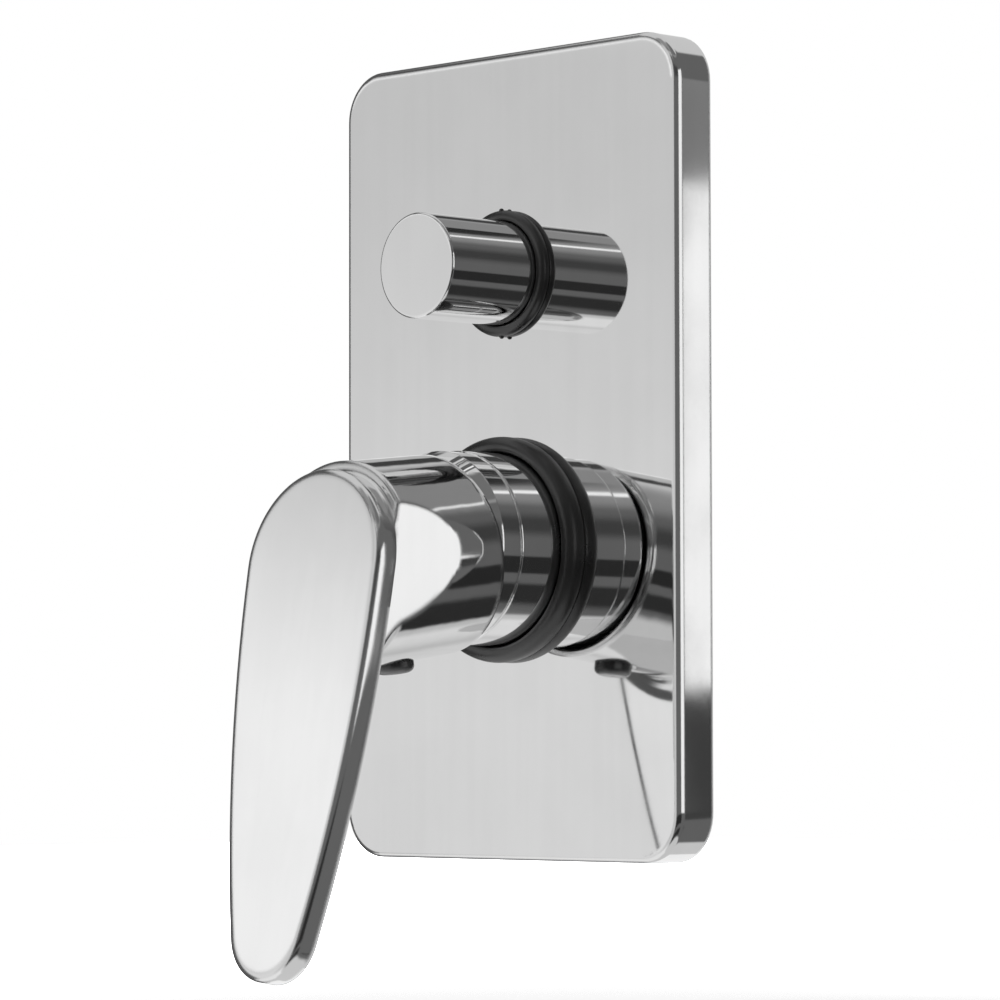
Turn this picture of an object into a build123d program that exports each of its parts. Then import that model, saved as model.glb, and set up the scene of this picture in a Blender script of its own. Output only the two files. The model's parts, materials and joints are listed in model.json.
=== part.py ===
from build123d import *
import math
import os

# Concealed single-lever shower mixer with a pull-out diverter knob.
# Millimetres. X runs right, Y runs into the wall and Z runs up.
# The origin is the centre of the cover plate, on the wall plane.
# A distance called out is measured from the wall plane into the room, along -Y.

# Cover plate: a pressed shell, open at the back
PLATE_WIDTH = 111.0
PLATE_HEIGHT = 190.0
PLATE_DEPTH = 11.3
PLATE_CORNER_R = 11.5
PLATE_EDGE_R = 1.6
PLATE_WALL = 2.0
SEAL_WIDTH = 4.0
SEAL_DEPTH = 3.0

# Valve axes on the plate
MIX_Z = -22.5
AXIS_SPACING = 65.0
DIV_Z = MIX_Z + AXIS_SPACING

# Fits
FIT = 0.1
RUNNING_FIT = 0.05
SLIDE_GAP = 0.3

# Chrome sleeve and the dome that holds it
SLEEVE_WALL = 1.4
SLEEVE_PROUD = 17.0
SLEEVE_BACK = 1.0
SLEEVE_EDGE_R = 0.5
DOME_WALL = 1.6
DOME_STEP = 0.3
DOME_BAND = 5.6
DOME_SKIRT = 6.3
DOME_HOLE_R = 12.5

# Rubber rings in the plate holes
GROMMET_NECK = 1.4
GROMMET_LIP = 1.4
GROMMET_LIP_DEPTH = 1.6
SLEEVE_BEAD = 3.8
SLEEVE_BEAD_HEIGHT = 5.2
KNOB_BEAD = 2.5
KNOB_BEAD_HEIGHT = 2.6
BEAD_FOOT_SHARE = 0.16
BEAD_RIDGE_SHARE = 0.3
BEAD_WAIST_SHARE = 0.45
BEAD_INNER_SHARE = 0.72
NUB_R = 0.6
NUB_HEIGHT = 0.5

# Lever: a hub, a paddle and a trumpet-shaped blend between them
PIVOT_SETBACK = 5.0
LEVER_DROOP = 8.7
HUB_RIM = 12.8
HUB_OVERHANG = 1.7
HUB_SPREAD = 0.7
HUB_GAP = 0.6
PADDLE_REACH = 50.7
PADDLE_CANT = 18.3
PADDLE_HALF = 22.2
PADDLE_RISE = 2.8
PADDLE_DROP = 91.5
PADDLE_SIDE_R = 349.0
PADDLE_THICK = 5.5
PADDLE_EDGE_R = 1.5
FLARE_R = 6.0
FLARE_TUCK = 0.05
FLARE_SECTIONS = 5
SCOOP_R = 55.0
SCOOP_DEPTH = 2.2
SCREW_SETBACK = 2.4
SCREW_R = 2.5
SCREW_LENGTH = 9.0
SCREW_SOCKET = 2.5
SCREW_SOCKET_DEPTH = 3.0
SCREW_MOUTH_BOTTOM = 14.0
PLUG_R = 4.5
PLUG_PROUD = 2.3
PLUG_EDGE_R = 1.6

# Stem of the cartridge, on a cross pin
STEM_SIDE = 7.0
STEM_COVER = 12.7
STEM_EYE_R = 5.0
STEM_ARM = 8.0
STEM_BALL_R = 2.4
STEM_SHANK_R = 2.0
PIN_R = 2.0

# Ceramic cartridge, stacked inwards from the pivot to the floor of its chamber
CARTRIDGE_R = 17.5
CHAMBER_GAP = 0.2
ROTOR_PIVOT = 5.3
HOUSING_WALL = 2.3
BASE_LIFT = 0.4
BASE_THICK = 3.6
BASE_SEAL_DEPTH = 1.6
BASE_SEAL_WIDTH = 1.5
FIXED_DISC_THICK = 4.0
FILM = 0.1
MOVING_DISC_ROOM = 3.7
MOVING_DISC_THICK = 3.4
CARRIER_ROOM = 6.2
CARRIER_THICK = 5.2
CARRIER_LUG_R = 1.2
CARRIER_LUG_DEPTH = 1.5
CARRIER_LUG_INSET = 2.0
ROTOR_FLANGE_THICK = 4.0
ROTOR_STEP = 3.3
ROTOR_LENGTH = 12.0
ROTOR_SLOT = 13.0
RAIL_THICK = 2.8
RAIL_LENGTH = 16.0
RAIL_DEPTH = 4.7
LIP_THICK = 2.2
PORT_R = 3.2
INLET_X = 6.5
INLET_DROP = 4.5
OUTLET_RISE = 7.0
MIX_POCKET_MARGIN = 1.3
MIX_POCKET_LENGTH = 11.0
MIX_POCKET_DEPTH = 2.0
MIX_POCKET_RISE = 2.0
NUT_THICK = 5.5
NUT_HEX_R = 13.0

# Brass body in the wall
NECK_WALL = 2.1
NECK_GAP = 1.4
NECK_END_GAP = 0.5
MIX_SHOULDER = 4.2
BODY_DEPTH = 27.0
PIPE_INSET = 0.5
PORT_BORE_R = 9.3
PORT_BORE_DEPTH = 12.0
INLET_REACH = 6.0
SHOWER_REACH = 32.5
BATH_REACH = 35.5
WATERWAY_R = 4.5
WATERWAY_WALL = 4.0
BATH_WAY_R = 3.0
BATH_WAY_INSET = 6.5
ORING_OUT = 12.0
ORING_GROOVE_DEPTH = 1.0

# Diverter
KNOB_R = 12.3
KNOB_PROUD = 29.0
KNOB_BACK = 0.2
KNOB_WALL = 1.6
KNOB_FACE_THICK = 4.0
KNOB_EDGE_R = 0.5
KNOB_BOSS_R = 5.5
KNOB_BOSS_LENGTH = 12.0
DIVERTER_BOSS_R = 14.5
DIVERTER_BOSS_OUT = -0.4
DIVERTER_CHAMBER_R = 8.6
DIVERTER_FLOOR = 3.0
BONNET_ROOM = 0.5
BONNET_HEX_THICK = 4.0
BONNET_THREAD_LENGTH = 2.5
BONNET_GUIDE_R = 7.0
BONNET_GUIDE_LENGTH = 15.0
SPINDLE_R = 3.0
SPINDLE_GRIP = 10.5
SPOOL_CORE_R = 5.0
SPOOL_FLANGE = 2.0
SPOOL_LENGTH = 6.0
SPOOL_END_GAP = 0.5
SPINDLE_SEAL_SECTION = 1.6
SPRING_WIRE = 1.0
SPRING_R = 5.2
SPRING_TURNS = 4

# Radii worked out from the cartridge outwards
CHAMBER_R = CARTRIDGE_R + CHAMBER_GAP
NECK_R = CHAMBER_R + NECK_WALL
MIX_BASE_R = NECK_R + MIX_SHOULDER
SLEEVE_BORE_R = NECK_R + NECK_GAP
SLEEVE_R = SLEEVE_BORE_R + SLEEVE_WALL
HUB_RIM_R = SLEEVE_R + HUB_OVERHANG
HUB_NECK_R = HUB_RIM_R + HUB_SPREAD
ORING_SECTION = NECK_GAP + ORING_GROOVE_DEPTH - FIT
DOME_R = SLEEVE_R - DOME_STEP
DOME_SKIRT_R = SLEEVE_BORE_R - FIT
DOME_BORE_R = NECK_R + FIT
DOME_SPHERE_R = math.hypot(DOME_R, PIVOT_SETBACK + DOME_BAND)
CAVITY_R = DOME_SPHERE_R + HUB_GAP
SCREW_AT = CAVITY_R + SCREW_SETBACK
PLUG_END = HUB_RIM_R * math.cos(math.radians(PADDLE_CANT)) + PLUG_PROUD
STEM_LENGTH = PADDLE_REACH - STEM_COVER

# Radii worked out from the cartridge inwards
HOUSING_BORE_R = CARTRIDGE_R - HOUSING_WALL
ROTOR_FLANGE_R = HOUSING_BORE_R - SLIDE_GAP
ROTOR_NECK_R = ROTOR_FLANGE_R - ROTOR_STEP
MOVING_DISC_R = HOUSING_BORE_R - MOVING_DISC_ROOM
CARRIER_SIDE = 2 * (HOUSING_BORE_R - CARRIER_ROOM)
CARRIER_LUG_X = CARRIER_SIDE / 2 - CARRIER_LUG_INSET
MIX_POCKET_WIDTH = 2 * (CARRIER_LUG_X - CARRIER_LUG_R - MIX_POCKET_MARGIN)

# Distances out worked out from the plate
PLATE_BACK_OUT = PLATE_DEPTH - PLATE_WALL
SLEEVE_FRONT = PLATE_DEPTH + SLEEVE_PROUD
PIVOT_OUT = SLEEVE_FRONT - PIVOT_SETBACK
ROTOR_OUT = PIVOT_OUT - ROTOR_PIVOT
CARRIER_OUT = ROTOR_OUT - SLIDE_GAP - CARRIER_THICK
MOVING_DISC_OUT = CARRIER_OUT - MOVING_DISC_THICK
FIXED_DISC_OUT = MOVING_DISC_OUT - FILM - FIXED_DISC_THICK
BASE_OUT = FIXED_DISC_OUT - BASE_THICK
CHAMBER_FLOOR = BASE_OUT - BASE_LIFT
LIP_OUT = ROTOR_OUT + ROTOR_FLANGE_THICK + SLIDE_GAP
HOUSING_FRONT = LIP_OUT + LIP_THICK
NUT_FRONT = HOUSING_FRONT + NUT_THICK
NECK_FRONT = NUT_FRONT + NECK_END_GAP
SLIDER_Z = MIX_Z + STEM_ARM * math.sin(math.radians(LEVER_DROOP))
PORT_PLACES = [
    (-INLET_X, MIX_Z - INLET_DROP),
    (INLET_X, MIX_Z - INLET_DROP),
    (0, MIX_Z + OUTLET_RISE),
]

# Places in the body and the diverter
PIPE_OUT = -BODY_DEPTH / 2
PIPE_R = BODY_DEPTH / 2 - PIPE_INSET
INLET_END_X = MIX_BASE_R + INLET_REACH
SHOWER_END_Z = DIV_Z + SHOWER_REACH
BATH_END_Z = MIX_Z - BATH_REACH
BATH_WAY_OUT = BATH_WAY_INSET - BODY_DEPTH
KNOB_FRONT = PLATE_DEPTH + KNOB_PROUD
KNOB_BORE_R = KNOB_R - KNOB_WALL
KNOB_BOSS_BACK = KNOB_FRONT - KNOB_FACE_THICK - KNOB_BOSS_LENGTH
BONNET_HEX_R = KNOB_BORE_R - BONNET_ROOM
BONNET_BACK = DIVERTER_BOSS_OUT - BONNET_THREAD_LENGTH
BONNET_FRONT = DIVERTER_BOSS_OUT + BONNET_HEX_THICK + BONNET_GUIDE_LENGTH
CHAMBER_BACK = DIVERTER_FLOOR - BODY_DEPTH
SPOOL_BACK = CHAMBER_BACK + SPOOL_END_GAP
SPOOL_FRONT = SPOOL_BACK + SPOOL_LENGTH
SPOOL_R = DIVERTER_CHAMBER_R - SLIDE_GAP
SPINDLE_SEAL_OUT = BONNET_FRONT - BONNET_GUIDE_LENGTH / 2


def turn(outline, axis_z):
    """Turn a closed outline of radius and distance out about a valve axis."""
    plane = Plane(origin=(0, 0, axis_z), x_dir=(1, 0, 0), z_dir=(0, 0, -1))
    return revolve(plane * make_face(outline), Axis((0, 0, axis_z), (0, -1, 0)), 360)


def ring(outer, inner, start, end, axis_z):
    """A turned ring between two distances out; an inner radius of 0 gives a cylinder."""
    outline = Polyline((inner, start), (outer, start), (outer, end), (inner, end), close=True)
    return turn(outline.edges(), axis_z)


def rod_x(radius, start, end, out, z):
    """A cylinder along X."""
    return Pos((start + end) / 2, -out, z) * Rot(0, 90, 0) * Cylinder(radius, end - start)


def rod_y(radius, start, end, x, z):
    """A cylinder along Y, between two distances out."""
    return Pos(x, -(start + end) / 2, z) * Rot(90, 0, 0) * Cylinder(radius, end - start)


def rod_z(radius, start, end, out):
    """A cylinder along Z, in the middle plane."""
    return Pos(0, -out, (start + end) / 2) * Cylinder(radius, end - start)


def plate_block(inset, start, end):
    """The plate's rounded outline, drawn in by inset, between two distances out."""
    outline = RectangleRounded(
        PLATE_WIDTH - 2 * inset, PLATE_HEIGHT - 2 * inset, PLATE_CORNER_R - inset
    )
    return extrude(Plane.XZ.offset(start) * outline, end - start)


def grommet_neck_r(bore_r):
    """Outside of a rubber ring where it passes through the plate."""
    return bore_r + FIT + GROMMET_NECK


def make_cover_plate():
    shell = plate_block(0, 0, PLATE_DEPTH)
    shell = fillet(shell.faces().sort_by(Axis.Y)[0].edges(), PLATE_EDGE_R)
    shell -= plate_block(PLATE_WALL, 0, PLATE_BACK_OUT)
    for radius, axis_z in ((SLEEVE_R, MIX_Z), (KNOB_R, DIV_Z)):
        hole_r = grommet_neck_r(radius) + FIT
        shell -= ring(hole_r, 0, 0, PLATE_DEPTH, axis_z)
    return shell


def make_plate_seal():
    """Foam strip inside the rim, flush with the wall."""
    return plate_block(PLATE_WALL, 0, SEAL_DEPTH) - plate_block(PLATE_WALL + SEAL_WIDTH, 0, SEAL_DEPTH)


def make_grommet(shaft_r, bead, bead_height, axis_z):
    """Rubber ring: rounded bead in front of the plate, neck in the hole, lip behind."""
    bore = shaft_r + FIT
    neck = grommet_neck_r(shaft_r)
    lip = neck + GROMMET_LIP
    lip_front = PLATE_BACK_OUT - FIT
    lip_back = lip_front - GROMMET_LIP_DEPTH
    front = PLATE_DEPTH + bead_height
    foot_r = bore + (1 - BEAD_FOOT_SHARE) * bead
    ridge_r = bore + BEAD_RIDGE_SHARE * bead
    waist = PLATE_DEPTH + BEAD_WAIST_SHARE * bead_height
    inner = PLATE_DEPTH + BEAD_INNER_SHARE * bead_height
    outline = [
        Polyline(
            (bore, inner),
            (bore, lip_back),
            (lip, lip_back),
            (lip, lip_front),
            (neck, lip_front),
            (neck, PLATE_DEPTH),
            (foot_r, PLATE_DEPTH),
        ),
        EllipticalCenterArc((foot_r, waist), bore + bead - foot_r, waist - PLATE_DEPTH, 270),
        EllipticalCenterArc((ridge_r, waist), bore + bead - ridge_r, front - waist, 0),
        EllipticalCenterArc((ridge_r, inner), ridge_r - bore, front - inner, 90),
    ]
    return turn(outline, axis_z)


def make_knob_grommet():
    body = make_grommet(KNOB_R, KNOB_BEAD, KNOB_BEAD_HEIGHT, DIV_Z)
    root = KNOB_R + FIT + KNOB_BEAD / 2
    reach = KNOB_R + FIT + KNOB_BEAD + NUB_HEIGHT
    nub_out = PLATE_DEPTH + KNOB_BEAD_HEIGHT / 2
    body += rod_z(NUB_R, DIV_Z + root, DIV_Z + reach - NUB_R, nub_out)
    body += rod_z(NUB_R, DIV_Z - reach + NUB_R, DIV_Z - root, nub_out)
    for side in (-1, 1):
        body += Pos(0, -nub_out, DIV_Z + side * (reach - NUB_R)) * Sphere(NUB_R)
    return body


def make_sleeve():
    tube = ring(SLEEVE_R, SLEEVE_BORE_R, SLEEVE_BACK, SLEEVE_FRONT, MIX_Z)
    rims = tube.edges().filter_by(GeomType.CIRCLE).group_by(Axis.Y)[0]
    return fillet(rims.sort_by(SortBy.RADIUS)[-1], SLEEVE_EDGE_R)


def sphere_out(sphere_r, radius):
    """Distance out of a point on a sphere about the pivot."""
    return PIVOT_OUT + math.sqrt(sphere_r**2 - radius**2)


def make_dome():
    """Cap screwed on the neck: a skirt inside the sleeve, a band and a spherical front."""
    inner_r = DOME_SPHERE_R - DOME_WALL
    skirt_back = SLEEVE_FRONT - DOME_SKIRT
    middle_r = (DOME_R + DOME_HOLE_R) / 2
    inner_middle_r = (DOME_BORE_R + DOME_HOLE_R) / 2
    band_end = (DOME_R, SLEEVE_FRONT + DOME_BAND)
    hole_front = (DOME_HOLE_R, sphere_out(DOME_SPHERE_R, DOME_HOLE_R))
    hole_back = (DOME_HOLE_R, sphere_out(inner_r, DOME_HOLE_R))
    bore_end = (DOME_BORE_R, sphere_out(inner_r, DOME_BORE_R))
    outline = [
        Line((DOME_BORE_R, skirt_back), (DOME_SKIRT_R, skirt_back)),
        Line((DOME_SKIRT_R, skirt_back), (DOME_SKIRT_R, SLEEVE_FRONT)),
        Line((DOME_SKIRT_R, SLEEVE_FRONT), (DOME_R, SLEEVE_FRONT)),
        Line((DOME_R, SLEEVE_FRONT), band_end),
        ThreePointArc(band_end, (middle_r, sphere_out(DOME_SPHERE_R, middle_r)), hole_front),
        Line(hole_front, hole_back),
        ThreePointArc(hole_back, (inner_middle_r, sphere_out(inner_r, inner_middle_r)), bore_end),
        Line(bore_end, (DOME_BORE_R, skirt_back)),
    ]
    return turn(outline, MIX_Z)


def make_oring(inner_r, section, out, axis_z):
    """A rubber O-ring about a valve axis."""
    round_r = section / 2
    place = Pos(0, -out, axis_z) * Rot(90, 0, 0)
    return place * Torus(inner_r + round_r, round_r)


def make_valve_body():
    """Cast body: mixing chamber and neck, diverter boss and four pipe barrels."""
    body = ring(MIX_BASE_R, 0, -BODY_DEPTH, 0, MIX_Z)
    body += ring(NECK_R, 0, 0, NECK_FRONT, MIX_Z)
    body += ring(DIVERTER_BOSS_R, 0, -BODY_DEPTH, DIVERTER_BOSS_OUT, DIV_Z)
    body += rod_x(PIPE_R, -INLET_END_X, INLET_END_X, PIPE_OUT, MIX_Z)
    body += rod_z(PIPE_R, BATH_END_Z, SHOWER_END_Z, PIPE_OUT)
    return body - body_bores() - body_waterways()


def body_bores():
    """Cartridge chamber, diverter chamber, O-ring groove and the pipe threads' bores."""
    cuts = ring(CHAMBER_R, 0, CHAMBER_FLOOR, NECK_FRONT, MIX_Z)
    cuts += ring(DIVERTER_CHAMBER_R, 0, CHAMBER_BACK, DIVERTER_BOSS_OUT, DIV_Z)
    half = ORING_SECTION / 2 + FIT
    groove_r = NECK_R - ORING_GROOVE_DEPTH
    cuts += ring(NECK_R + FIT, groove_r, ORING_OUT - half, ORING_OUT + half, MIX_Z)
    cuts += rod_x(PORT_BORE_R, -INLET_END_X, PORT_BORE_DEPTH - INLET_END_X, PIPE_OUT, MIX_Z)
    cuts += rod_x(PORT_BORE_R, INLET_END_X - PORT_BORE_DEPTH, INLET_END_X, PIPE_OUT, MIX_Z)
    cuts += rod_z(PORT_BORE_R, BATH_END_Z, BATH_END_Z + PORT_BORE_DEPTH, PIPE_OUT)
    cuts += rod_z(PORT_BORE_R, SHOWER_END_Z - PORT_BORE_DEPTH, SHOWER_END_Z, PIPE_OUT)
    return cuts


def body_waterways():
    """Inlets to the cartridge, mixed water up to the diverter, and its two ways out."""
    inlet_end = INLET_END_X - PORT_BORE_DEPTH
    ways = rod_x(WATERWAY_R, -inlet_end, -WATERWAY_WALL, PIPE_OUT, MIX_Z)
    ways += rod_x(WATERWAY_R, WATERWAY_WALL, inlet_end, PIPE_OUT, MIX_Z)
    for x, z in PORT_PLACES:
        ways += rod_y(PORT_R, PIPE_OUT, CHAMBER_FLOOR, x, z)
    ways += rod_z(WATERWAY_R, MIX_Z + OUTLET_RISE, DIV_Z, PIPE_OUT)
    ways += rod_z(WATERWAY_R, DIV_Z, SHOWER_END_Z - PORT_BORE_DEPTH, PIPE_OUT)
    ways += rod_z(BATH_WAY_R, BATH_END_Z + PORT_BORE_DEPTH, DIV_Z, BATH_WAY_OUT)
    return ways


def make_cartridge_base():
    base = ring(CARTRIDGE_R, 0, BASE_OUT, FIXED_DISC_OUT, MIX_Z)
    groove_r = PORT_R + FIT + BASE_SEAL_WIDTH + FIT
    for x, z in PORT_PLACES:
        base -= rod_y(PORT_R, BASE_OUT, FIXED_DISC_OUT, x, z)
        base -= rod_y(groove_r, BASE_OUT, CHAMBER_FLOOR + BASE_SEAL_DEPTH, x, z)
    return base


def make_base_seals():
    """Three rubber rings, one round each port."""
    inner_r = PORT_R + FIT
    seal_front = CHAMBER_FLOOR + BASE_SEAL_DEPTH
    seals = []
    for x, z in PORT_PLACES:
        outside = rod_y(inner_r + BASE_SEAL_WIDTH, CHAMBER_FLOOR, seal_front, x, z)
        seals.append(outside - rod_y(inner_r, CHAMBER_FLOOR, seal_front, x, z))
    return Compound(children=seals)


def make_fixed_disc():
    end = FIXED_DISC_OUT + FIXED_DISC_THICK
    disc = ring(HOUSING_BORE_R - FIT, 0, FIXED_DISC_OUT, end, MIX_Z)
    for x, z in PORT_PLACES:
        disc -= rod_y(PORT_R, FIXED_DISC_OUT, end, x, z)
    return disc


def carrier_lugs(radius):
    """The two pegs that carry the moving disc."""
    lugs = []
    for side in (-1, 1):
        lugs.append(
            rod_y(radius, CARRIER_OUT - CARRIER_LUG_DEPTH, CARRIER_OUT, side * CARRIER_LUG_X, SLIDER_Z)
        )
    return lugs


def make_moving_disc():
    """Ceramic disc with a mixing pocket on its sealing face."""
    disc = ring(MOVING_DISC_R, 0, MOVING_DISC_OUT, CARRIER_OUT, SLIDER_Z)
    pocket = Box(MIX_POCKET_WIDTH, MIX_POCKET_DEPTH, MIX_POCKET_LENGTH)
    disc -= Pos(0, -MOVING_DISC_OUT - MIX_POCKET_DEPTH / 2, SLIDER_Z + MIX_POCKET_RISE) * pocket
    for hole in carrier_lugs(CARRIER_LUG_R + RUNNING_FIT):
        disc -= hole
    return disc


def make_disc_carrier():
    """Slider between the rotor's rails, pushed by the ball of the stem."""
    middle = CARRIER_OUT + CARRIER_THICK / 2
    block = Pos(0, -middle, SLIDER_Z) * Box(CARRIER_SIDE, CARRIER_THICK, CARRIER_SIDE)
    block -= rod_y(STEM_BALL_R + SLIDE_GAP, CARRIER_OUT, CARRIER_OUT + CARRIER_THICK, 0, SLIDER_Z)
    for lug in carrier_lugs(CARRIER_LUG_R):
        block += lug
    return block


def make_cartridge_rotor():
    """Turning guide with a slot for the stem, a cross hole and two rails for the slider."""
    flange_end = ROTOR_OUT + ROTOR_FLANGE_THICK
    rotor = ring(ROTOR_FLANGE_R, 0, ROTOR_OUT, flange_end, MIX_Z)
    rotor += ring(ROTOR_NECK_R, 0, flange_end, ROTOR_OUT + ROTOR_LENGTH, MIX_Z)
    rail_x = CARRIER_SIDE / 2 + SLIDE_GAP / 2 + RAIL_THICK / 2
    for side in (-1, 1):
        rail = Box(RAIL_THICK, RAIL_DEPTH, RAIL_LENGTH)
        rotor += Pos(side * rail_x, -ROTOR_OUT + RAIL_DEPTH / 2, MIX_Z) * rail
    slot = Box(STEM_SIDE + 2 * SLIDE_GAP, ROTOR_LENGTH, ROTOR_SLOT)
    rotor -= Pos(0, -ROTOR_OUT - ROTOR_LENGTH / 2, MIX_Z) * slot
    return rotor - rod_x(PIN_R, -ROTOR_FLANGE_R, ROTOR_FLANGE_R, PIVOT_OUT, MIX_Z)


def make_stem_pin():
    half = math.sqrt(ROTOR_NECK_R**2 - PIN_R**2) - FIT
    return rod_x(PIN_R, -half, half, PIVOT_OUT, MIX_Z)


def make_cartridge_housing():
    outer = ring(CARTRIDGE_R, HOUSING_BORE_R, FIXED_DISC_OUT, LIP_OUT, MIX_Z)
    return outer + ring(CARTRIDGE_R, ROTOR_NECK_R + SLIDE_GAP, LIP_OUT, HOUSING_FRONT, MIX_Z)


def make_cartridge_nut():
    """Threaded ring with a hexagon for the key."""
    hexagon = RegularPolygon(NUT_HEX_R, 6, major_radius=False)
    key = extrude(Plane(origin=(0, -HOUSING_FRONT, MIX_Z), z_dir=(0, -1, 0)) * hexagon, NUT_THICK)
    return ring(CHAMBER_R - FIT, 0, HOUSING_FRONT, NUT_FRONT, MIX_Z) - key


def lever_section(distance, rise):
    """Plane across the lever, centred on the hub axis, its normal raised by rise degrees."""
    droop = math.radians(LEVER_DROOP)
    tilt = math.radians(rise)
    out = PIVOT_OUT + distance * math.cos(droop)
    return Plane(
        origin=(0, -out, MIX_Z - distance * math.sin(droop)),
        x_dir=(1, 0, 0),
        z_dir=(0, -math.cos(tilt), math.sin(tilt)),
    )


def hub_plane(distance):
    """Plane square to the hub axis."""
    return lever_section(distance, -LEVER_DROOP)


def paddle_plane():
    """Plane of the paddle's face."""
    return lever_section(PADDLE_REACH, PADDLE_CANT - LEVER_DROOP)


def paddle_outline():
    """Pear outline: a round top, long side arcs and a round tip, all tangent."""
    drop = PADDLE_RISE + PADDLE_DROP
    side_centre = PADDLE_HALF - PADDLE_SIDE_R
    tip_r = (PADDLE_SIDE_R**2 - side_centre**2 - drop**2) / (2 * (PADDLE_SIDE_R - drop))
    sweep_angle = math.atan2(drop - tip_r, -side_centre)
    tip_x = side_centre + PADDLE_SIDE_R * math.cos(sweep_angle)
    tip_y = PADDLE_RISE - PADDLE_SIDE_R * math.sin(sweep_angle)
    middle_x = side_centre + PADDLE_SIDE_R * math.cos(sweep_angle / 2)
    middle_y = PADDLE_RISE - PADDLE_SIDE_R * math.sin(sweep_angle / 2)
    shoulder = (PADDLE_HALF, PADDLE_RISE)
    far_shoulder = (-PADDLE_HALF, PADDLE_RISE)
    return make_face(
        [
            ThreePointArc(shoulder, (0, PADDLE_RISE + PADDLE_HALF), far_shoulder),
            ThreePointArc(far_shoulder, (-middle_x, middle_y), (-tip_x, tip_y)),
            ThreePointArc((-tip_x, tip_y), (0, -PADDLE_DROP), (tip_x, tip_y)),
            ThreePointArc((tip_x, tip_y), (middle_x, middle_y), shoulder),
        ]
    )


def hub_circle(depth, extra):
    """Round section of the slanted hub, a depth behind the paddle's face."""
    cant = math.radians(PADDLE_CANT)
    run = PADDLE_REACH - HUB_RIM
    share = (depth - PADDLE_THICK) / (run * math.cos(cant) - PADDLE_THICK)
    centre_y = PADDLE_RISE + share * (run * math.sin(cant) - PADDLE_RISE)
    radius = HUB_NECK_R + share * (HUB_RIM_R - HUB_NECK_R)
    return paddle_plane().offset(-depth) * Pos(0, centre_y) * Circle(radius + extra)


def make_hub():
    """Slanted round hub, cut square to its axis at the rim."""
    far = PADDLE_REACH - HUB_RIM + HUB_RIM_R
    hub = loft([hub_circle(PADDLE_THICK, 0), hub_circle(far, 0)])
    return split(hub, bisect_by=hub_plane(HUB_RIM), keep=Keep.TOP)


def make_flare():
    """Trumpet-shaped blend from the hub to the back of the paddle, kept within its outline."""
    sections = []
    for step in range(FLARE_SECTIONS):
        angle = math.pi / 2 * step / (FLARE_SECTIONS - 1)
        depth = PADDLE_THICK + FLARE_R * (1 - math.sin(angle))
        sections.append(hub_circle(depth, FLARE_R * (1 - math.cos(angle)) - FLARE_TUCK))
    behind = extrude(paddle_plane() * paddle_outline(), -PADDLE_THICK - FLARE_R)
    return loft(sections) & behind


def make_paddle():
    paddle = extrude(paddle_plane() * paddle_outline(), -PADDLE_THICK)
    front = paddle.faces().sort_by(SortBy.AREA)[-2:].sort_by(Axis.Y)[0]
    return fillet(front.edges(), PADDLE_EDGE_R)


def hub_scoops():
    """Hollows that draw in the hub's flanks just behind the paddle."""
    length = PADDLE_RISE + PADDLE_DROP
    centre_x = PADDLE_HALF - SCOOP_DEPTH + SCOOP_R
    roll = Pos(0, PADDLE_RISE, 0) * Rot(90, 0, 0) * Cylinder(SCOOP_R, length)
    behind = Pos(0, PADDLE_RISE, -PADDLE_THICK - SCOOP_R) * Box(2 * SCOOP_R, length, 2 * SCOOP_R)
    half_roll = roll & behind
    plane = paddle_plane()
    return [plane * Pos(side * centre_x, 0, 0) * half_roll for side in (-1, 1)]


def make_lever():
    lever = make_hub() + make_flare() + make_paddle()
    for scoop in hub_scoops():
        lever -= scoop
    lever -= Pos(0, -PIVOT_OUT, MIX_Z) * Sphere(CAVITY_R)
    socket = STEM_SIDE + 2 * RUNNING_FIT
    depth = STEM_LENGTH + FIT
    lever -= hub_plane(0) * Pos(0, 0, depth / 2) * Box(socket, socket, depth)
    lever -= screw_hole(PLUG_R + RUNNING_FIT, SCREW_MOUTH_BOTTOM, PLUG_END)
    return lever - screw_hole(SCREW_R + RUNNING_FIT, 0, SCREW_MOUTH_BOTTOM)


def screw_hole(radius, start, end):
    """A cylinder down through the hub, between two distances below its axis."""
    place = hub_plane(SCREW_AT) * Pos(0, -(start + end) / 2, 0) * Rot(90, 0, 0)
    return place * Cylinder(radius, end - start)


def make_lever_screw():
    """Grub screw with a hexagon socket, bearing on the stem."""
    start = STEM_SIDE / 2
    end = start + SCREW_LENGTH
    screw = screw_hole(SCREW_R, start, end)
    hexagon = RegularPolygon(SCREW_SOCKET / 2, 6, major_radius=False)
    mouth = hub_plane(SCREW_AT) * Pos(0, -end, 0) * Rot(-90, 0, 0) * hexagon
    return screw - extrude(mouth, SCREW_SOCKET_DEPTH)


def make_screw_plug():
    """Domed plug in the mouth of the screw hole, a little proud of the hub."""
    plug = screw_hole(PLUG_R, SCREW_MOUTH_BOTTOM, PLUG_END)
    rim = plug.edges().filter_by(GeomType.CIRCLE).sort_by(Axis.Z)[0]
    return fillet(rim, PLUG_EDGE_R)


def make_stem():
    """Square bar with an eye on the pin and a ball that drives the slider."""
    bar = Pos(0, 0, STEM_LENGTH / 2) * Box(STEM_SIDE, STEM_SIDE, STEM_LENGTH)
    eye = Rot(0, 90, 0) * Cylinder(STEM_EYE_R, STEM_SIDE)
    shank = Pos(0, 0, -STEM_ARM / 2) * Cylinder(STEM_SHANK_R, STEM_ARM)
    ball = Pos(0, 0, -STEM_ARM) * Sphere(STEM_BALL_R)
    hole = Rot(0, 90, 0) * Cylinder(PIN_R + RUNNING_FIT, 2 * STEM_SIDE)
    return hub_plane(0) * (bar + eye + shank + ball - hole)


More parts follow.
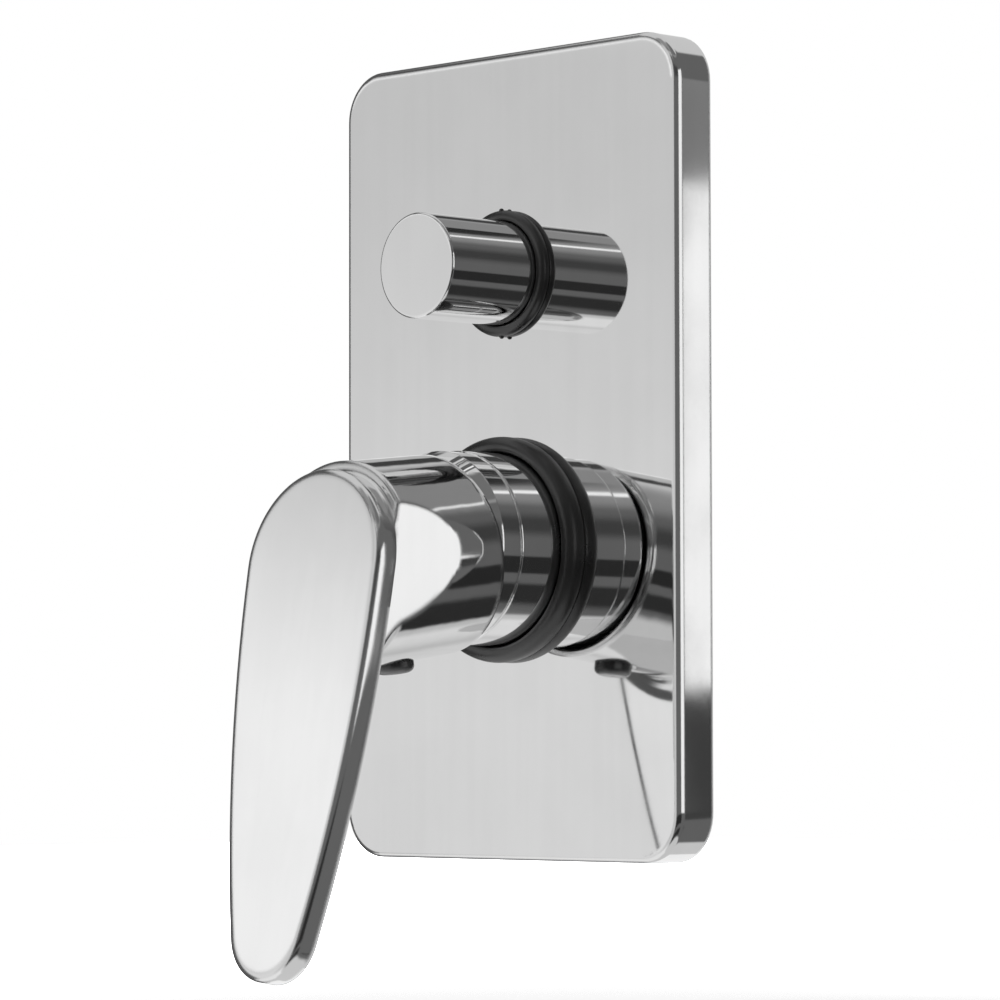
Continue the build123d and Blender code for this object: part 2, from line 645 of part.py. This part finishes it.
def make_diverter_knob():
    """Plain turned knob, hollow behind, with a boss that grips the spindle."""
    knob = ring(KNOB_R, 0, KNOB_BACK, KNOB_FRONT, DIV_Z)
    rim = knob.edges().filter_by(GeomType.CIRCLE).sort_by(Axis.Y)[0]
    knob = fillet(rim, KNOB_EDGE_R)
    knob -= ring(KNOB_BORE_R, 0, KNOB_BACK, KNOB_FRONT - KNOB_FACE_THICK, DIV_Z)
    knob += ring(KNOB_BOSS_R, 0, KNOB_BOSS_BACK, KNOB_FRONT - KNOB_FACE_THICK, DIV_Z)
    return knob - ring(SPINDLE_R, 0, KNOB_BOSS_BACK, KNOB_BOSS_BACK + SPINDLE_GRIP, DIV_Z)


def make_diverter_spindle():
    """Pull rod with a two-flanged spool at its inner end."""
    rod = ring(SPINDLE_R, 0, SPOOL_BACK, KNOB_BOSS_BACK + SPINDLE_GRIP, DIV_Z)
    rod += ring(SPOOL_CORE_R, 0, SPOOL_BACK, SPOOL_FRONT, DIV_Z)
    rod += ring(SPOOL_R, 0, SPOOL_BACK, SPOOL_BACK + SPOOL_FLANGE, DIV_Z)
    return rod + ring(SPOOL_R, 0, SPOOL_FRONT - SPOOL_FLANGE, SPOOL_FRONT, DIV_Z)


def make_spool_seal():
    return ring(
        SPOOL_R, SPOOL_CORE_R, SPOOL_BACK + SPOOL_FLANGE, SPOOL_FRONT - SPOOL_FLANGE, DIV_Z
    )


def make_diverter_bonnet():
    """Screwed bush that guides the spindle, with a seal groove in its bore."""
    hex_back = Plane(origin=(0, -DIVERTER_BOSS_OUT, DIV_Z), z_dir=(0, -1, 0))
    bonnet = extrude(hex_back * RegularPolygon(BONNET_HEX_R, 6), BONNET_HEX_THICK)
    bonnet += ring(DIVERTER_CHAMBER_R - FIT, 0, BONNET_BACK, DIVERTER_BOSS_OUT, DIV_Z)
    bonnet += ring(BONNET_GUIDE_R, 0, DIVERTER_BOSS_OUT, BONNET_FRONT, DIV_Z)
    bonnet -= ring(SPINDLE_R + RUNNING_FIT, 0, BONNET_BACK, BONNET_FRONT, DIV_Z)
    half = SPINDLE_SEAL_SECTION / 2 + FIT
    groove_r = SPINDLE_R + RUNNING_FIT + SPINDLE_SEAL_SECTION + FIT
    return bonnet - ring(groove_r, 0, SPINDLE_SEAL_OUT - half, SPINDLE_SEAL_OUT + half, DIV_Z)


def make_diverter_spring():
    """Return spring between the spool and the bonnet."""
    start = SPOOL_FRONT + SPRING_WIRE / 2 + RUNNING_FIT
    height = BONNET_BACK - SPRING_WIRE / 2 - RUNNING_FIT - start
    path = Helix(
        pitch=height / SPRING_TURNS,
        height=height,
        radius=SPRING_R,
        center=(0, -start, DIV_Z),
        direction=(0, -1, 0),
    )
    wire = Plane(origin=path @ 0, z_dir=path % 0) * Circle(SPRING_WIRE / 2)
    return sweep(wire, path=path, is_frenet=True)


PIECES = {
    "cover_plate": make_cover_plate(),
    "plate_seal": make_plate_seal(),
    "sleeve_grommet": make_grommet(SLEEVE_R, SLEEVE_BEAD, SLEEVE_BEAD_HEIGHT, MIX_Z),
    "knob_grommet": make_knob_grommet(),
    "valve_body": make_valve_body(),
    "sleeve": make_sleeve(),
    "sleeve_oring": make_oring(NECK_R - ORING_GROOVE_DEPTH, ORING_SECTION, ORING_OUT, MIX_Z),
    "dome": make_dome(),
    "cartridge_base": make_cartridge_base(),
    "base_seals": make_base_seals(),
    "fixed_disc": make_fixed_disc(),
    "moving_disc": make_moving_disc(),
    "disc_carrier": make_disc_carrier(),
    "cartridge_rotor": make_cartridge_rotor(),
    "stem_pin": make_stem_pin(),
    "stem": make_stem(),
    "cartridge_housing": make_cartridge_housing(),
    "cartridge_nut": make_cartridge_nut(),
    "lever": make_lever(),
    "lever_screw": make_lever_screw(),
    "screw_plug": make_screw_plug(),
    "diverter_knob": make_diverter_knob(),
    "diverter_spindle": make_diverter_spindle(),
    "spool_seal": make_spool_seal(),
    "diverter_bonnet": make_diverter_bonnet(),
    "spindle_oring": make_oring(SPINDLE_R + RUNNING_FIT, SPINDLE_SEAL_SECTION, SPINDLE_SEAL_OUT, DIV_Z),
    "diverter_spring": make_diverter_spring(),
}

os.makedirs("parts", exist_ok=True)
for node, shape in PIECES.items():
    export_step(shape, f"parts/{node}.step")
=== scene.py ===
import json
import math

import bpy
from mathutils import Matrix, Vector

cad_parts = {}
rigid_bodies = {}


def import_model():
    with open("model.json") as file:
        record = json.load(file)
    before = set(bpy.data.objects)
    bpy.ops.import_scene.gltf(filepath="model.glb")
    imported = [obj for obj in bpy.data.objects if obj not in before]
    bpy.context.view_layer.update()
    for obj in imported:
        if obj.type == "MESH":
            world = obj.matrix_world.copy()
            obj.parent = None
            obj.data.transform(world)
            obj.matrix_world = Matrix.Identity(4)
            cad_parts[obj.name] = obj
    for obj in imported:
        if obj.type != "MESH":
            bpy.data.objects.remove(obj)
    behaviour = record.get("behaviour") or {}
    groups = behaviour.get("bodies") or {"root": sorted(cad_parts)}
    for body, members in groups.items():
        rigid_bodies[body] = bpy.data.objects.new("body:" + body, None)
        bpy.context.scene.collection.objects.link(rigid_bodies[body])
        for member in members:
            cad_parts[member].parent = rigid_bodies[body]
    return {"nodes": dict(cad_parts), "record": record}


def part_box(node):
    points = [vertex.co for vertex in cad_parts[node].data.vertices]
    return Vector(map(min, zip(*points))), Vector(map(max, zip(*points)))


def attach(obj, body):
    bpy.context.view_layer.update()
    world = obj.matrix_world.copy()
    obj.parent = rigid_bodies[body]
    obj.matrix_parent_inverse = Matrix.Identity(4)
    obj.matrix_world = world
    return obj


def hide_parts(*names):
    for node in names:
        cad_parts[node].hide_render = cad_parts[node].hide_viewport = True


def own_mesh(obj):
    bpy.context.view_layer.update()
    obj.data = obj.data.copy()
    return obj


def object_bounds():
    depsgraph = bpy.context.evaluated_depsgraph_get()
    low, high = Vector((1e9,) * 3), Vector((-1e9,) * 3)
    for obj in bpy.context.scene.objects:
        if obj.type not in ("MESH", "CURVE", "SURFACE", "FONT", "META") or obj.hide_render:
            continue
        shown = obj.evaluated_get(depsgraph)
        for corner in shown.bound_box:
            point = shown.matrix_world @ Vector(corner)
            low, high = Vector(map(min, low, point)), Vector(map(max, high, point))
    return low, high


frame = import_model()
CAD_LOW, CAD_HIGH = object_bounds()

# Camera of the photograph, in metres and degrees
YAW = 45.632
PITCH = 3.005
ROLL = -0.106
LENS_MM = 164.08
SENSOR_MM = 36.0
TARGET = Vector((-0.013576, 0.0, -0.009822))
DISTANCE = 1.08734

# Share of the light that each chrome surface sends back
PLATE_GREY = 0.87
LEVER_GREY = 0.88
TRIM_GREY = 0.93

# Strength of the slight waviness in each chrome surface
PLATE_WAVE = 0.02
LEVER_WAVE = 0.03
TRIM_WAVE = 0.03

# How far polishing has softened the edges of each chrome surface, in metres
PLATE_EDGE = 0.0011
LEVER_EDGE = 0.0020
TRIM_EDGE = 0.0005
EDGE_SAMPLES = 8

# Chrome's brightness where hazy, as a share of the clear plating, and its fine roughness
HAZE_SHARE = 0.96
FINE_ROUGHNESS = 0.012

# How noise is stretched along each axis for polishing lines and for drawn lines
POLISHING_LINES = (1.0, 1.0, 0.04)
DRAWN_LINES = (1.0, 1.0, 18.0)

# Most of a noise texture's values lie between these two
NOISE_SPAN = (0.3, 0.7)

# The lever's unplated hollow is a ball about the tilt joint; painted shade makes the metal
# inside it dark
HOLLOW_R = 0.0254
HOLLOW_ROUGHNESS = 0.6

# Colours of the cast brass where dark and where pale
BRASS_DARK = (0.52, 0.33, 0.12, 1.0)
BRASS_PALE = (0.66, 0.46, 0.20, 1.0)

# Size of the foam's cells, as a texture scale
FOAM_CELLS = 1100.0

# Height above the plug's end at which painted light has faded out and its smoked plastic is
# darkest, in metres
PLUG_PAINTED_LIGHT_FADE = 0.0024

# Floor, in metres: drop below the part, width, and the distances between which it fades
FLOOR_DROP = 0.012
FLOOR_SIZE = 3.0
FLOOR_FADE = (0.1, 0.6)
FLOOR_GREY = 0.9

# Lamps aimed at the origin: name, place, width in metres and power in watts
LAMPS = [
    ("key", (-0.7, -1.0, 0.9), 0.9, 9.0),
    ("back", (0.7, 1.0, 0.7), 0.8, 6.0),
]

# Soft light on dull surfaces, from a low direction to a high one
FILL_HEIGHT = (-0.6, 0.9)
FILL_LIGHT = (0.35, 0.75)

# Level of the backdrop that the camera sees
BACKDROP = 1.0

# Sockets of the mix node, whose names repeat for each kind of data
MIX_FACTOR = 0
MIX_FLOATS = (2, 3)
MIX_COLOURS = (6, 7)
MIX_COLOUR_OUT = 2


# Node helpers
class Graph:
    """A node tree with short calls to add and link nodes."""

    def __init__(self, tree):
        self.tree = tree
        tree.nodes.clear()

    def add(self, kind, **settings):
        node = self.tree.nodes.new(kind)
        for name, value in settings.items():
            setattr(node, name, value)
        return node

    def feed(self, value, socket):
        if isinstance(value, bpy.types.NodeSocket):
            self.tree.links.new(value, socket)
        else:
            socket.default_value = value

    def math(self, operation, first, second=0.0):
        node = self.add("ShaderNodeMath", operation=operation)
        self.feed(first, node.inputs[0])
        self.feed(second, node.inputs[1])
        return node.outputs[0]

    def ramp(self, value, low, high, out_low=0.0, out_high=1.0):
        node = self.add("ShaderNodeMapRange", interpolation_type="SMOOTHSTEP")
        for socket, item in zip(node.inputs, (value, low, high, out_low, out_high)):
            self.feed(item, socket)
        return node.outputs[0]

    def mix(self, factor, first, second):
        node = self.add("ShaderNodeMix", data_type="FLOAT")
        self.feed(factor, node.inputs[MIX_FACTOR])
        for index, value in zip(MIX_FLOATS, (first, second)):
            self.feed(value, node.inputs[index])
        return node.outputs[0]

    def mix_colour(self, factor, first, second):
        node = self.add("ShaderNodeMix", data_type="RGBA")
        self.feed(factor, node.inputs[MIX_FACTOR])
        for index, value in zip(MIX_COLOURS, (first, second)):
            self.feed(value, node.inputs[index])
        return node.outputs[MIX_COLOUR_OUT]

    def place(self):
        return self.add("ShaderNodeTexCoord").outputs["Object"]

    def height(self):
        node = self.add("ShaderNodeSeparateXYZ")
        self.feed(self.place(), node.inputs[0])
        return node.outputs["Z"]

    def noise(self, scale, detail, stretch=None):
        vector = self.place()
        if stretch:
            mapping = self.add("ShaderNodeMapping")
            self.feed(vector, mapping.inputs["Vector"])
            mapping.inputs["Scale"].default_value = stretch
            vector = mapping.outputs["Vector"]
        node = self.add("ShaderNodeTexNoise")
        self.feed(vector, node.inputs["Vector"])
        node.inputs["Scale"].default_value = scale
        node.inputs["Detail"].default_value = detail
        return node.outputs["Fac"]

    def distance(self, place):
        node = self.add("ShaderNodeVectorMath", operation="DISTANCE")
        self.feed(self.place(), node.inputs[0])
        node.inputs[1].default_value = place
        return node.outputs["Value"]

    def soft_edge(self, radius):
        node = self.add("ShaderNodeBevel", samples=EDGE_SAMPLES)
        node.inputs["Radius"].default_value = radius
        return node.outputs["Normal"]

    def bump(self, height, strength, distance, base=None):
        node = self.add("ShaderNodeBump")
        self.feed(height, node.inputs["Height"])
        if base:
            self.feed(base, node.inputs["Normal"])
        node.inputs["Strength"].default_value = strength
        node.inputs["Distance"].default_value = distance
        return node.outputs["Normal"]

    def principled(self, **sockets):
        node = self.add("ShaderNodeBsdfPrincipled")
        for name, value in sockets.items():
            self.feed(value, node.inputs[name.replace("_", " ")])
        output = self.add("ShaderNodeOutputMaterial")
        self.tree.links.new(node.outputs[0], output.inputs["Surface"])


def new_graph(name):
    material = bpy.data.materials.new(name)
    material.use_nodes = True
    return material, Graph(material.node_tree)


def grey(level):
    return (level, level, level, 1.0)


# Materials
def chrome(name, level, wave, edge, hollow=None):
    """Bright plating over polished metal, with faint haze and upright polishing lines.
    Its edges are soft and its surface slightly wavy. Inside the hollow, a ball about a place,
    the unplated metal is dull, and painted shade makes it dark."""
    material, graph = new_graph(name)
    haze = graph.noise(scale=38.0, detail=4.0)
    fine = graph.noise(scale=900.0, detail=2.0)
    hazy = graph.ramp(haze, low=0.3, high=0.75, out_low=0.02, out_high=0.045)
    roughness = graph.math("ADD", hazy, graph.math("MULTIPLY", fine, FINE_ROUGHNESS))
    lines = graph.noise(scale=240.0, detail=2.0, stretch=POLISHING_LINES)
    clouded = graph.ramp(haze, low=0.35, high=0.7, out_high=0.7)
    lined = graph.ramp(lines, low=0.35, high=0.65, out_high=0.3)
    shade = graph.math("ADD", clouded, lined)
    colour = graph.mix_colour(shade, grey(level), grey(level * HAZE_SHARE))
    waves = graph.noise(scale=55.0, detail=1.0)
    normal = graph.bump(waves, strength=wave, distance=0.0004, base=graph.soft_edge(edge))
    if hollow:
        place, radius = hollow
        # Painted shade: near-black colour inside the hollow stands for the shade in that
        # recess; the dull roughness is the unplated metal
        inside = graph.math("LESS_THAN", graph.distance(place), radius)
        sand = graph.noise(scale=700.0, detail=3.0)
        painted_shade_casting = graph.mix_colour(sand, grey(0.05), grey(0.12))
        colour = graph.mix_colour(inside, colour, painted_shade_casting)
        roughness = graph.mix(inside, roughness, HOLLOW_ROUGHNESS)
    graph.principled(Base_Color=colour, Metallic=1.0, Roughness=roughness, Normal=normal)
    return material


def rubber():
    """Black moulded rubber with a soft sheen and a fine matt grain."""
    material, graph = new_graph("black_rubber")
    cloud = graph.noise(scale=120.0, detail=3.0)
    grain = graph.noise(scale=2600.0, detail=2.0)
    colour = graph.mix_colour(cloud, grey(0.004), grey(0.010))
    roughness = graph.ramp(cloud, *NOISE_SPAN, out_low=0.27, out_high=0.36)
    normal = graph.bump(grain, strength=0.25, distance=0.0002)
    graph.principled(
        Base_Color=colour,
        Roughness=roughness,
        Normal=normal,
        Specular_IOR_Level=1.0,
    )
    return material


def foam():
    """Dark closed-cell foam strip."""
    material, graph = new_graph("foam_strip")
    voronoi = graph.add("ShaderNodeTexVoronoi")
    graph.feed(graph.place(), voronoi.inputs["Vector"])
    voronoi.inputs["Scale"].default_value = FOAM_CELLS
    cells = voronoi.outputs["Distance"]
    colour = graph.mix_colour(cells, grey(0.055), grey(0.03))
    normal = graph.bump(cells, strength=0.6, distance=0.0005)
    graph.principled(Base_Color=colour, Roughness=0.9, Normal=normal)
    return material


def brass():
    """Sand-cast brass, dull and slightly mottled."""
    material, graph = new_graph("cast_brass")
    mottle = graph.noise(scale=60.0, detail=5.0)
    sand = graph.noise(scale=1500.0, detail=4.0)
    colour = graph.mix_colour(graph.ramp(mottle, *NOISE_SPAN), BRASS_DARK, BRASS_PALE)
    roughness = graph.ramp(sand, *NOISE_SPAN, out_low=0.34, out_high=0.52)
    normal = graph.bump(sand, strength=0.35, distance=0.0005)
    graph.principled(Base_Color=colour, Metallic=1.0, Roughness=roughness, Normal=normal)
    return material


def plastic():
    """Light grey moulded plastic of the cartridge."""
    material, graph = new_graph("cartridge_plastic")
    flow = graph.noise(scale=90.0, detail=3.0)
    grain = graph.noise(scale=1800.0, detail=2.0)
    colour = graph.mix_colour(flow, grey(0.48), grey(0.60))
    normal = graph.bump(grain, strength=0.12, distance=0.0002)
    graph.principled(Base_Color=colour, Roughness=0.38, Normal=normal)
    return material


def ceramic():
    """Dense white ceramic, lapped flat."""
    material, graph = new_graph("ceramic")
    cloud = graph.noise(scale=200.0, detail=3.0)
    colour = graph.mix_colour(cloud, grey(0.78), grey(0.86))
    roughness = graph.ramp(cloud, *NOISE_SPAN, out_low=0.12, out_high=0.2)
    graph.principled(Base_Color=colour, Roughness=roughness)
    return material


def steel():
    """Stainless steel with drawn lines."""
    material, graph = new_graph("steel")
    lines = graph.noise(scale=400.0, detail=3.0, stretch=DRAWN_LINES)
    colour = graph.mix_colour(lines, grey(0.42), grey(0.56))
    roughness = graph.ramp(lines, *NOISE_SPAN, out_low=0.2, out_high=0.34)
    normal = graph.bump(lines, strength=0.1, distance=0.0001)
    graph.principled(Base_Color=colour, Metallic=1.0, Roughness=roughness, Normal=normal)
    return material


def plug_plastic():
    """Glossy smoked plug over the grub screw, with painted light making it paler towards its
    end.
    """
    material, graph = new_graph("plug_plastic")
    flow = graph.noise(scale=300.0, detail=3.0)
    grain = graph.noise(scale=1500.0, detail=2.0)
    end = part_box("screw_plug")[0].z
    # Painted light: grey painted onto the plug's end, fading out upwards towards the hub
    pale = graph.ramp(graph.height(), end, end + PLUG_PAINTED_LIGHT_FADE, out_low=1.0, out_high=0.0)
    smoked = graph.mix_colour(flow, grey(0.015), grey(0.04))
    colour = graph.mix_colour(pale, smoked, grey(0.24))
    roughness = graph.ramp(flow, *NOISE_SPAN, out_low=0.1, out_high=0.2)
    normal = graph.bump(grain, strength=0.08, distance=0.0001)
    graph.principled(Base_Color=colour, Roughness=roughness, Normal=normal)
    return material


def joint_row(name):
    """A joint's row in the record."""
    joints = frame["record"]["behaviour"]["joints"]
    return next(joint for joint in joints if joint["name"] == name)


LEVER_HOLLOW = (joint_row("lever_tilt")["pos_m"], HOLLOW_R)
FINISHES = {
    "plate_chrome": chrome("plate_chrome", PLATE_GREY, PLATE_WAVE, PLATE_EDGE),
    "lever_chrome": chrome("lever_chrome", LEVER_GREY, LEVER_WAVE, LEVER_EDGE, LEVER_HOLLOW),
    "trim_chrome": chrome("trim_chrome", TRIM_GREY, TRIM_WAVE, TRIM_EDGE),
    "plug_plastic": plug_plastic(),
    "black_rubber": rubber(),
    "foam_strip": foam(),
    "cast_brass": brass(),
    "cartridge_plastic": plastic(),
    "ceramic": ceramic(),
    "steel": steel(),
}


def finish_nodes():
    """Each CAD node takes the finish of its material slot in the record."""
    for entry in frame["record"]["subparts"]:
        data = frame["nodes"][entry["node"]].data
        data.materials.clear()
        data.materials.append(FINISHES[entry["material_slot"]])


def make_return_spring():
    """The diverter's spring as the frame has it, hung on the joint's parent with a mesh of
    its own."""
    joint = joint_row("diverter_pull")
    deforming = joint["deforming_nodes"][0]
    node = deforming["node"]
    spring = bpy.data.objects.new("return_spring", frame["nodes"][node].data.copy())
    bpy.context.scene.collection.objects.link(spring)
    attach(spring, joint["parent"])
    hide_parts(node)
    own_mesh(spring)


# Studio: what the metal sees, as patches of brightness laid over the walls in this order
# Each row: name, level, azimuths and elevations between which it lies, softness in degrees
WALLS = 0.62
STUDIO = [
    ("dark room on the right", 0.13, ((4, 165), (-47, 48)), 3.0),
    ("dark ceiling on the right", 0.16, ((35, 125), (48, 86)), 4.0),
    ("pale wall on the left", 0.75, ((-57, -30), (-30, 4.5)), 4.0),
    ("pale wall behind on the left", 0.95, ((-160, -129), (-40, 20)), 1.0),
    ("grey ceiling in front", 0.28, ((-34, 34), (36, 75)), 4.0),
    ("lightbox above the horizon", 0.97, ((-57, -26), (9.2, 30)), 0.6),
    ("dim top of the lightbox", 0.55, ((-57, -26), (15, 30)), 2.5),
    ("flag over the lightbox", 0.06, ((-80, -26), (26, 36)), 1.5),
    ("dark room on the left", 0.10, ((-128, -60), (-40, 45)), 2.5),
    ("beam above the strip lamp", 0.03, ((-2, 14), (44.8, 48.5)), 0.8),
    ("strip lamp", 1.1, ((6, 34), (41.6, 43.0)), 0.5),
    ("shade under the strip lamp", 0.055, ((18, 80), (12, 27)), 5.0),
    ("edge of the table", 0.025, ((10, 90), (-21, -7)), 1.2),
    ("gap under the table", 0.03, ((4, 90), (-42, -29)), 2.0),
    ("table on the left", 0.85, ((-95, -4), (-75, -34)), 4.0),
    ("window on the right", 0.98, ((84, 131), (-4, 22)), 1.5),
    ("lit wall behind on the right", 1.02, ((136.55, 138), (0.6, 7.0)), 0.08),
    ("grey edge of that wall", 0.22, ((136.55, 138), (7.0, 9.5)), 0.08),
    ("dark floor behind on the right", 0.05, ((136.55, 138), (-40, 0.6)), 0.08),
]


def band(graph, angle, low, high, soft):
    """A soft-edged mask that is 1 between two angles."""
    rise = graph.ramp(angle, low - soft, low + soft)
    fall = graph.ramp(angle, high - soft, high + soft, out_low=1.0, out_high=0.0)
    return graph.math("MULTIPLY", rise, fall)


def make_world():
    """The studio for shiny surfaces, an even fill for dull ones and a plain backdrop."""
    world = bpy.data.worlds.new("studio")
    world.use_nodes = True
    bpy.context.scene.world = world
    graph = Graph(world.node_tree)
    direction = graph.add("ShaderNodeTexCoord").outputs["Generated"]
    axes = graph.add("ShaderNodeSeparateXYZ")
    graph.feed(direction, axes.inputs[0])
    x, y, z = axes.outputs
    towards_front = graph.math("MULTIPLY", y, -1.0)
    azimuth = graph.math("DEGREES", graph.math("ARCTAN2", x, towards_front))
    elevation = graph.math("DEGREES", graph.math("ARCSINE", z))
    seen = WALLS
    for _, level, (azimuths, elevations), soft in STUDIO:
        across = band(graph, azimuth, *azimuths, soft)
        upward = band(graph, elevation, *elevations, soft)
        seen = graph.mix(graph.math("MULTIPLY", across, upward), seen, level)
    path = graph.add("ShaderNodeLightPath")
    fill = graph.ramp(z, *FILL_HEIGHT, *FILL_LIGHT)
    strength = graph.mix(path.outputs["Is Glossy Ray"], fill, seen)
    strength = graph.mix(path.outputs["Is Transmission Ray"], strength, BACKDROP)
    strength = graph.mix(path.outputs["Is Camera Ray"], strength, BACKDROP)
    background = graph.add("ShaderNodeBackground")
    background.inputs["Color"].default_value = grey(1.0)
    graph.feed(strength, background.inputs["Strength"])
    output = graph.add("ShaderNodeOutputWorld")
    world.node_tree.links.new(background.outputs[0], output.inputs["Surface"])


def add_lamp(name, place, size, power):
    """A square lamp aimed at the origin, which the metal doesn't mirror."""
    data = bpy.data.lights.new(name, "AREA")
    data.size = size
    data.energy = power
    lamp = bpy.data.objects.new(name, data)
    bpy.context.scene.collection.objects.link(lamp)
    lamp.location = place
    lamp.rotation_euler = (-Vector(place)).to_track_quat("-Z", "Y").to_euler()
    lamp.visible_glossy = False


def make_floor():
    """Pale floor below the lever's tip that takes only the shadow.
    It is clear from below and fades out away from the object."""
    half = FLOOR_SIZE / 2
    level = CAD_LOW.z - FLOOR_DROP
    corners = [
        (-half, -half, level),
        (half, -half, level),
        (half, half, level),
        (-half, half, level),
    ]
    mesh = bpy.data.meshes.new("floor")
    mesh.from_pydata(corners, [], [(0, 1, 2, 3)])
    floor = bpy.data.objects.new("floor", mesh)
    bpy.context.scene.collection.objects.link(floor)
    material, graph = new_graph("floor")
    geometry = graph.add("ShaderNodeNewGeometry")
    cover = graph.add("ShaderNodeMixShader")
    paint = graph.add("ShaderNodeBsdfDiffuse")
    paint.inputs["Color"].default_value = grey(FLOOR_GREY)
    clear = graph.add("ShaderNodeBsdfTransparent")
    links = material.node_tree.links
    fade = graph.ramp(graph.distance((0.0, 0.0, level)), *FLOOR_FADE)
    graph.feed(graph.math("MAXIMUM", geometry.outputs["Backfacing"], fade), cover.inputs[0])
    links.new(paint.outputs[0], cover.inputs[1])
    links.new(clear.outputs[0], cover.inputs[2])
    output = graph.add("ShaderNodeOutputMaterial")
    links.new(cover.outputs[0], output.inputs["Surface"])
    mesh.materials.append(material)
    floor.is_shadow_catcher = True
    floor.visible_glossy = False


def make_camera():
    """The photograph's camera, turned about its own axis by the roll."""
    yaw, pitch, roll = (math.radians(angle) for angle in (YAW, PITCH, ROLL))
    forward = Vector((
        -math.sin(yaw) * math.cos(pitch),
        math.cos(yaw) * math.cos(pitch),
        math.sin(pitch),
    ))
    level = forward.cross(Vector((0, 0, 1))).normalized()
    rise = level.cross(forward)
    right = math.cos(roll) * level + math.sin(roll) * rise
    up = math.cos(roll) * rise - math.sin(roll) * level
    data = bpy.data.cameras.new("camera")
    data.sensor_width = SENSOR_MM
    data.lens = LENS_MM
    camera = bpy.data.objects.new("camera", data)
    bpy.context.scene.collection.objects.link(camera)
    turn = Matrix((right, up, -forward)).transposed().to_4x4()
    camera.matrix_world = Matrix.Translation(TARGET - forward * DISTANCE) @ turn
    bpy.context.scene.camera = camera


finish_nodes()
make_return_spring()
make_world()
for lamp_row in LAMPS:
    add_lamp(*lamp_row)
make_floor()
make_camera()

bpy.context.scene.view_settings.view_transform = "Standard"
